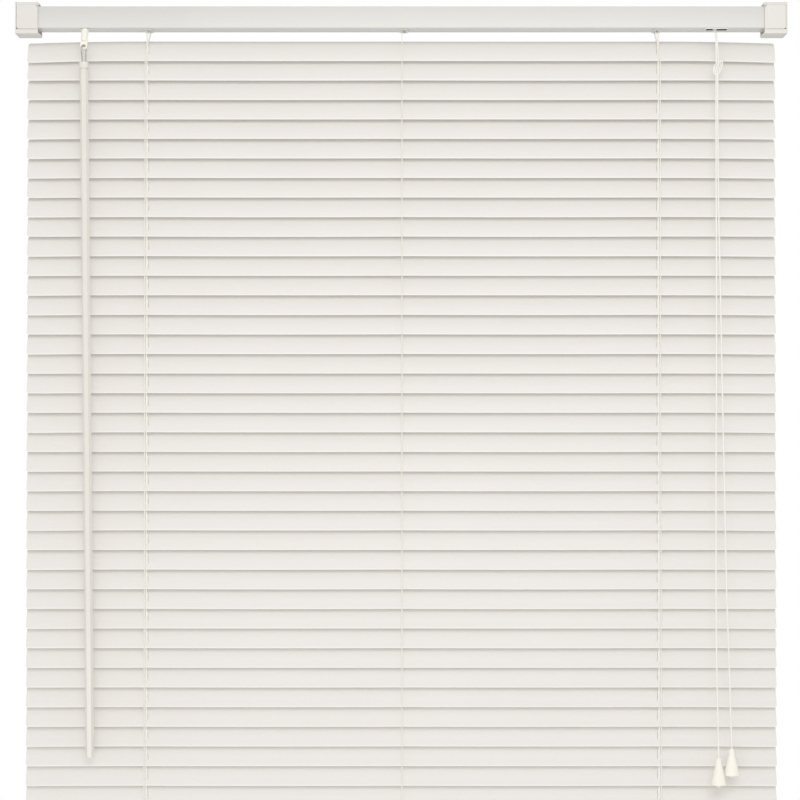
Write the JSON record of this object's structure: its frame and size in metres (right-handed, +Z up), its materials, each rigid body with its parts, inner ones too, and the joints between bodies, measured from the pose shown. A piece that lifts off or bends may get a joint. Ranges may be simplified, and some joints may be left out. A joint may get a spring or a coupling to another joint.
{
  "type": "venetian blind",
  "caption": "Closed venetian blind with crowned vinyl slats, box end brackets, a hexagonal tilt wand and two lift cords that end in bell tassels.",
  "frame": {"origin": "centre of the four wall screw holes, in the plane of the wall, at the middle of the headrail's height", "axes": "+Z up, +Y into the wall (the room is at -Y), +X to the right as seen from the room"},
  "size_m": [0.862, 0.0473, 0.921],
  "materials": {
    "head_steel": "off-white baked enamel on roll-formed steel, satin",
    "bracket_plastic": "off-white moulding, soft sheen",
    "door_plastic": "off-white moulding, soft sheen",
    "slat_vinyl": "alabaster vinyl with a fine grain, satin",
    "rail_vinyl": "alabaster vinyl, satin",
    "ivory_plastic": "ivory moulding, soft sheen",
    "works_plastic": "natural nylon",
    "drum_plastic": "white acetal",
    "rod_steel": "zinc-plated drawn steel",
    "roller_brass": "knurled",
    "wand_plastic": "off-white extrusion, glossy",
    "cord": "braided polyester"
  },
  "bodies": {
    "headrail_assembly": {"headrail": "head_steel", "bracket_left": "bracket_plastic", "bracket_right": "bracket_plastic", "tilter_housing": "works_plastic", "drum_cradles": "works_plastic", "cord_lock": "works_plastic", "lift_cords": "cord", "pull_cords": "cord"},
    "door_left": {"door_left": "door_plastic"},
    "door_right": {"door_right": "door_plastic"},
    "tilter_shaft": {"tilter_worm": "ivory_plastic"},
    "tilt_rod_and_drums": {"tilt_rod": "rod_steel", "ladder_drums": "drum_plastic"},
    "wand_hanger": {"wand_collar": "wand_plastic"},
    "wand": {"wand": "wand_plastic"},
    "lock_roller": {"cord_lock_roller": "roller_brass"},
    "ladder_front": {"ladder_front": "cord"},
    "ladder_rear": {"ladder_rear": "cord"},
    "rail_carrier": {"lift_knots": "cord"},
    "bottom_rail": {"bottom_rail": "rail_vinyl"},
    "tassels": {"tassels_and_stop": "ivory_plastic"},
    "slat_01": {"slat_01": "slat_vinyl"},
    "slat_02": {"slat_02": "slat_vinyl"},
    "slat_03": {"slat_03": "slat_vinyl"},
    "slat_04": {"slat_04": "slat_vinyl"},
    "slat_05": {"slat_05": "slat_vinyl"},
    "slat_06": {"slat_06": "slat_vinyl"},
    "slat_07": {"slat_07": "slat_vinyl"},
    "slat_08": {"slat_08": "slat_vinyl"},
    "slat_09": {"slat_09": "slat_vinyl"},
    "slat_10": {"slat_10": "slat_vinyl"},
    "slat_11": {"slat_11": "slat_vinyl"},
    "slat_12": {"slat_12": "slat_vinyl"},
    "slat_13": {"slat_13": "slat_vinyl"},
    "slat_14": {"slat_14": "slat_vinyl"},
    "slat_15": {"slat_15": "slat_vinyl"},
    "slat_16": {"slat_16": "slat_vinyl"},
    "slat_17": {"slat_17": "slat_vinyl"},
    "slat_18": {"slat_18": "slat_vinyl"},
    "slat_19": {"slat_19": "slat_vinyl"},
    "slat_20": {"slat_20": "slat_vinyl"},
    "slat_21": {"slat_21": "slat_vinyl"},
    "slat_22": {"slat_22": "slat_vinyl"},
    "slat_23": {"slat_23": "slat_vinyl"},
    "slat_24": {"slat_24": "slat_vinyl"},
    "slat_25": {"slat_25": "slat_vinyl"},
    "slat_26": {"slat_26": "slat_vinyl"},
    "slat_27": {"slat_27": "slat_vinyl"},
    "slat_28": {"slat_28": "slat_vinyl"},
    "slat_29": {"slat_29": "slat_vinyl"},
    "slat_30": {"slat_30": "slat_vinyl"},
    "slat_31": {"slat_31": "slat_vinyl"},
    "slat_32": {"slat_32": "slat_vinyl"},
    "slat_33": {"slat_33": "slat_vinyl"},
    "slat_34": {"slat_34": "slat_vinyl"},
    "slat_35": {"slat_35": "slat_vinyl"},
    "slat_36": {"slat_36": "slat_vinyl"},
    "slat_37": {"slat_37": "slat_vinyl"},
    "slat_38": {"slat_38": "slat_vinyl"},
    "slat_39": {"slat_39": "slat_vinyl"}
  },
  "joints": [
    {"name": "wand_swing", "type": "hinge", "parent": "headrail_assembly", "child": "wand_hanger", "pos_m": [-0.3534, -0.0332, -0.0335], "axis": [-1, 0, 0], "range_deg": [0, 40]},
    {"name": "wand_turn", "type": "hinge", "parent": "wand_hanger", "child": "wand", "pos_m": [-0.3534, -0.0332, -0.0335], "axis": [-0.0105, 0, 0.9999], "range_deg": [-1620, 0]},
    {"name": "shaft_turn", "type": "hinge", "parent": "headrail_assembly", "child": "tilter_shaft", "pos_m": [-0.3534, -0.0332, -0.0335], "axis": [0, 0.4206, 0.9072], "range_deg": [-1620, 0]},
    {"name": "rod_turn", "type": "hinge", "parent": "headrail_assembly", "child": "tilt_rod_and_drums", "pos_m": [0, -0.012, -0.002], "axis": [1, 0, 0], "range_deg": [-135, 0]},
    {"name": "ladder_front_ride", "type": "hinge", "parent": "tilt_rod_and_drums", "child": "ladder_front", "pos_m": [0, -0.01678, -0.01355], "axis": [1, 0, 0], "range_deg": [0, 135]},
    {"name": "ladder_rear_ride", "type": "hinge", "parent": "tilt_rod_and_drums", "child": "ladder_rear", "pos_m": [0, -0.00722, 0.00955], "axis": [1, 0, 0], "range_deg": [0, 135]},
    {"name": "slat_01_tilt", "type": "hinge", "parent": "headrail_assembly", "child": "slat_01", "pos_m": [0, -0.0145, -0.0355], "axis": [1, 0, 0], "range_deg": [-135, 0]},
    {"name": "slat_02_tilt", "type": "hinge", "parent": "headrail_assembly", "child": "slat_02", "pos_m": [0, -0.0145, -0.0574], "axis": [1, 0, 0], "range_deg": [-135, 0]},
    {"name": "slat_03_tilt", "type": "hinge", "parent": "headrail_assembly", "child": "slat_03", "pos_m": [0, -0.0145, -0.0793], "axis": [1, 0, 0], "range_deg": [-135, 0]},
    {"name": "slat_04_tilt", "type": "hinge", "parent": "headrail_assembly", "child": "slat_04", "pos_m": [0, -0.0145, -0.1012], "axis": [1, 0, 0], "range_deg": [-135, 0]},
    {"name": "slat_05_tilt", "type": "hinge", "parent": "headrail_assembly", "child": "slat_05", "pos_m": [0, -0.0145, -0.1231], "axis": [1, 0, 0], "range_deg": [-135, 0]},
    {"name": "slat_06_tilt", "type": "hinge", "parent": "headrail_assembly", "child": "slat_06", "pos_m": [0, -0.0145, -0.145], "axis": [1, 0, 0], "range_deg": [-135, 0]},
    {"name": "slat_07_tilt", "type": "hinge", "parent": "headrail_assembly", "child": "slat_07", "pos_m": [0, -0.0145, -0.1669], "axis": [1, 0, 0], "range_deg": [-135, 0]},
    {"name": "slat_08_tilt", "type": "hinge", "parent": "headrail_assembly", "child": "slat_08", "pos_m": [0, -0.0145, -0.1888], "axis": [1, 0, 0], "range_deg": [-135, 0]},
    {"name": "slat_09_tilt", "type": "hinge", "parent": "headrail_assembly", "child": "slat_09", "pos_m": [0, -0.0145, -0.2107], "axis": [1, 0, 0], "range_deg": [-135, 0]},
    {"name": "slat_10_tilt", "type": "hinge", "parent": "headrail_assembly", "child": "slat_10", "pos_m": [0, -0.0145, -0.2326], "axis": [1, 0, 0], "range_deg": [-135, 0]},
    {"name": "slat_11_tilt", "type": "hinge", "parent": "headrail_assembly", "child": "slat_11", "pos_m": [0, -0.0145, -0.2545], "axis": [1, 0, 0], "range_deg": [-135, 0]},
    {"name": "slat_12_tilt", "type": "hinge", "parent": "headrail_assembly", "child": "slat_12", "pos_m": [0, -0.0145, -0.2764], "axis": [1, 0, 0], "range_deg": [-135, 0]},
    {"name": "slat_13_tilt", "type": "hinge", "parent": "headrail_assembly", "child": "slat_13", "pos_m": [0, -0.0145, -0.2983], "axis": [1, 0, 0], "range_deg": [-135, 0]},
    {"name": "slat_14_tilt", "type": "hinge", "parent": "headrail_assembly", "child": "slat_14", "pos_m": [0, -0.0145, -0.3202], "axis": [1, 0, 0], "range_deg": [-135, 0]},
    {"name": "slat_15_tilt", "type": "hinge", "parent": "headrail_assembly", "child": "slat_15", "pos_m": [0, -0.0145, -0.3421], "axis": [1, 0, 0], "range_deg": [-135, 0]},
    {"name": "slat_16_tilt", "type": "hinge", "parent": "headrail_assembly", "child": "slat_16", "pos_m": [0, -0.0145, -0.364], "axis": [1, 0, 0], "range_deg": [-135, 0]},
    {"name": "slat_17_tilt", "type": "hinge", "parent": "headrail_assembly", "child": "slat_17", "pos_m": [0, -0.0145, -0.3859], "axis": [1, 0, 0], "range_deg": [-135, 0]},
    {"name": "slat_18_tilt", "type": "hinge", "parent": "headrail_assembly", "child": "slat_18", "pos_m": [0, -0.0145, -0.4078], "axis": [1, 0, 0], "range_deg": [-135, 0]},
    {"name": "slat_19_tilt", "type": "hinge", "parent": "headrail_assembly", "child": "slat_19", "pos_m": [0, -0.0145, -0.4297], "axis": [1, 0, 0], "range_deg": [-135, 0]},
    {"name": "slat_20_tilt", "type": "hinge", "parent": "headrail_assembly", "child": "slat_20", "pos_m": [0, -0.0145, -0.4516], "axis": [1, 0, 0], "range_deg": [-135, 0]},
    {"name": "slat_21_tilt", "type": "hinge", "parent": "headrail_assembly", "child": "slat_21", "pos_m": [0, -0.0145, -0.4735], "axis": [1, 0, 0], "range_deg": [-135, 0]},
    {"name": "slat_22_tilt", "type": "hinge", "parent": "headrail_assembly", "child": "slat_22", "pos_m": [0, -0.0145, -0.4954], "axis": [1, 0, 0], "range_deg": [-135, 0]},
    {"name": "slat_23_tilt", "type": "hinge", "parent": "headrail_assembly", "child": "slat_23", "pos_m": [0, -0.0145, -0.5173], "axis": [1, 0, 0], "range_deg": [-135, 0]},
    {"name": "slat_24_tilt", "type": "hinge", "parent": "headrail_assembly", "child": "slat_24", "pos_m": [0, -0.0145, -0.5392], "axis": [1, 0, 0], "range_deg": [-135, 0]},
    {"name": "slat_25_tilt", "type": "hinge", "parent": "headrail_assembly", "child": "slat_25", "pos_m": [0, -0.0145, -0.5611], "axis": [1, 0, 0], "range_deg": [-135, 0]},
    {"name": "slat_26_tilt", "type": "hinge", "parent": "headrail_assembly", "child": "slat_26", "pos_m": [0, -0.0145, -0.583], "axis": [1, 0, 0], "range_deg": [-135, 0]},
    {"name": "slat_27_tilt", "type": "hinge", "parent": "headrail_assembly", "child": "slat_27", "pos_m": [0, -0.0145, -0.6049], "axis": [1, 0, 0], "range_deg": [-135, 0]},
    {"name": "slat_28_tilt", "type": "hinge", "parent": "headrail_assembly", "child": "slat_28", "pos_m": [0, -0.0145, -0.6268], "axis": [1, 0, 0], "range_deg": [-135, 0]},
    {"name": "slat_29_tilt", "type": "hinge", "parent": "headrail_assembly", "child": "slat_29", "pos_m": [0, -0.0145, -0.6487], "axis": [1, 0, 0], "range_deg": [-135, 0]},
    {"name": "slat_30_tilt", "type": "hinge", "parent": "headrail_assembly", "child": "slat_30", "pos_m": [0, -0.0145, -0.6706], "axis": [1, 0, 0], "range_deg": [-135, 0]},
    {"name": "slat_31_tilt", "type": "hinge", "parent": "headrail_assembly", "child": "slat_31", "pos_m": [0, -0.0145, -0.6925], "axis": [1, 0, 0], "range_deg": [-135, 0]},
    {"name": "slat_32_tilt", "type": "hinge", "parent": "headrail_assembly", "child": "slat_32", "pos_m": [0, -0.0145, -0.7144], "axis": [1, 0, 0], "range_deg": [-135, 0]},
    {"name": "slat_33_tilt", "type": "hinge", "parent": "headrail_assembly", "child": "slat_33", "pos_m": [0, -0.0145, -0.7363], "axis": [1, 0, 0], "range_deg": [-135, 0]},
    {"name": "slat_34_tilt", "type": "hinge", "parent": "headrail_assembly", "child": "slat_34", "pos_m": [0, -0.0145, -0.7582], "axis": [1, 0, 0], "range_deg": [-135, 0]},
    {"name": "slat_35_tilt", "type": "hinge", "parent": "headrail_assembly", "child": "slat_35", "pos_m": [0, -0.0145, -0.7801], "axis": [1, 0, 0], "range_deg": [-135, 0]},
    {"name": "slat_36_tilt", "type": "hinge", "parent": "headrail_assembly", "child": "slat_36", "pos_m": [0, -0.0145, -0.802], "axis": [1, 0, 0], "range_deg": [-135, 0]},
    {"name": "slat_37_tilt", "type": "hinge", "parent": "headrail_assembly", "child": "slat_37", "pos_m": [0, -0.0145, -0.8239], "axis": [1, 0, 0], "range_deg": [-135, 0]},
    {"name": "slat_38_tilt", "type": "hinge", "parent": "headrail_assembly", "child": "slat_38", "pos_m": [0, -0.0145, -0.8458], "axis": [1, 0, 0], "range_deg": [-135, 0]},
    {"name": "slat_39_tilt", "type": "hinge", "parent": "headrail_assembly", "child": "slat_39", "pos_m": [0, -0.0145, -0.8677], "axis": [1, 0, 0], "range_deg": [-135, 0]},
    {"name": "rail_lift", "type": "slide", "parent": "headrail_assembly", "child": "rail_carrier", "axis": [0, 0, 1], "range_m": [0, 0.778], "deforming": ["slat_01", "slat_02", "slat_03", "slat_04", "slat_05", "slat_06", "slat_07", "slat_08", "slat_09", "slat_10", "slat_11", "slat_12", "slat_13", "slat_14", "slat_15", "slat_16", "slat_17", "slat_18", "slat_19", "slat_20", "slat_21", "slat_22", "slat_23", "slat_24", "slat_25", "slat_26", "slat_27", "slat_28", "slat_29", "slat_30", "slat_31", "slat_32", "slat_33", "slat_34", "slat_35", "slat_36", "slat_37", "slat_38", "slat_39", "ladder_front", "ladder_rear", "lift_cords", "pull_cords"]},
    {"name": "rail_tilt", "type": "hinge", "parent": "rail_carrier", "child": "bottom_rail", "pos_m": [0, -0.0145, -0.8896], "axis": [1, 0, 0], "range_deg": [-135, 0]},
    {"name": "tassel_drop", "type": "slide", "parent": "headrail_assembly", "child": "tassels", "axis": [0, 0, -1], "range_m": [0, 0.778]},
    {"name": "lock_release", "type": "slide", "parent": "headrail_assembly", "child": "lock_roller", "axis": [0.5, 0, 0.866], "range_m": [0, 0.003]},
    {"name": "door_left_open", "type": "hinge", "parent": "headrail_assembly", "child": "door_left", "pos_m": [-0.418, -0.0272, 0.0148], "axis": [-1, 0, 0], "range_deg": [0, 100]},
    {"name": "door_right_open", "type": "hinge", "parent": "headrail_assembly", "child": "door_right", "pos_m": [0.418, -0.0272, 0.0148], "axis": [-1, 0, 0], "range_deg": [0, 100]}
  ],
  "couplings": [
    {"joint": "shaft_turn", "follows": "wand_turn", "ratio": 1},
    {"joint": "rod_turn", "follows": "wand_turn", "ratio": 0.083333},
    {"joint": "ladder_front_ride", "follows": "wand_turn", "ratio": -0.083333},
    {"joint": "ladder_rear_ride", "follows": "wand_turn", "ratio": -0.083333},
    {"joint": "slat_01_tilt", "follows": "wand_turn", "ratio": 0.083333},
    {"joint": "slat_02_tilt", "follows": "wand_turn", "ratio": 0.083333},
    {"joint": "slat_03_tilt", "follows": "wand_turn", "ratio": 0.083333},
    {"joint": "slat_04_tilt", "follows": "wand_turn", "ratio": 0.083333},
    {"joint": "slat_05_tilt", "follows": "wand_turn", "ratio": 0.083333},
    {"joint": "slat_06_tilt", "follows": "wand_turn", "ratio": 0.083333},
    {"joint": "slat_07_tilt", "follows": "wand_turn", "ratio": 0.083333},
    {"joint": "slat_08_tilt", "follows": "wand_turn", "ratio": 0.083333},
    {"joint": "slat_09_tilt", "follows": "wand_turn", "ratio": 0.083333},
    {"joint": "slat_10_tilt", "follows": "wand_turn", "ratio": 0.083333},
    {"joint": "slat_11_tilt", "follows": "wand_turn", "ratio": 0.083333},
    {"joint": "slat_12_tilt", "follows": "wand_turn", "ratio": 0.083333},
    {"joint": "slat_13_tilt", "follows": "wand_turn", "ratio": 0.083333},
    {"joint": "slat_14_tilt", "follows": "wand_turn", "ratio": 0.083333},
    {"joint": "slat_15_tilt", "follows": "wand_turn", "ratio": 0.083333},
    {"joint": "slat_16_tilt", "follows": "wand_turn", "ratio": 0.083333},
    {"joint": "slat_17_tilt", "follows": "wand_turn", "ratio": 0.083333},
    {"joint": "slat_18_tilt", "follows": "wand_turn", "ratio": 0.083333},
    {"joint": "slat_19_tilt", "follows": "wand_turn", "ratio": 0.083333},
    {"joint": "slat_20_tilt", "follows": "wand_turn", "ratio": 0.083333},
    {"joint": "slat_21_tilt", "follows": "wand_turn", "ratio": 0.083333},
    {"joint": "slat_22_tilt", "follows": "wand_turn", "ratio": 0.083333},
    {"joint": "slat_23_tilt", "follows": "wand_turn", "ratio": 0.083333},
    {"joint": "slat_24_tilt", "follows": "wand_turn", "ratio": 0.083333},
    {"joint": "slat_25_tilt", "follows": "wand_turn", "ratio": 0.083333},
    {"joint": "slat_26_tilt", "follows": "wand_turn", "ratio": 0.083333},
    {"joint": "slat_27_tilt", "follows": "wand_turn", "ratio": 0.083333},
    {"joint": "slat_28_tilt", "follows": "wand_turn", "ratio": 0.083333},
    {"joint": "slat_29_tilt", "follows": "wand_turn", "ratio": 0.083333},
    {"joint": "slat_30_tilt", "follows": "wand_turn", "ratio": 0.083333},
    {"joint": "slat_31_tilt", "follows": "wand_turn", "ratio": 0.083333},
    {"joint": "slat_32_tilt", "follows": "wand_turn", "ratio": 0.083333},
    {"joint": "slat_33_tilt", "follows": "wand_turn", "ratio": 0.083333},
    {"joint": "slat_34_tilt", "follows": "wand_turn", "ratio": 0.083333},
    {"joint": "slat_35_tilt", "follows": "wand_turn", "ratio": 0.083333},
    {"joint": "slat_36_tilt", "follows": "wand_turn", "ratio": 0.083333},
    {"joint": "slat_37_tilt", "follows": "wand_turn", "ratio": 0.083333},
    {"joint": "slat_38_tilt", "follows": "wand_turn", "ratio": 0.083333},
    {"joint": "slat_39_tilt", "follows": "wand_turn", "ratio": 0.083333},
    {"joint": "rail_tilt", "follows": "wand_turn", "ratio": 0.083333},
    {"joint": "tassel_drop", "follows": "rail_lift", "ratio": 1}
  ]
}
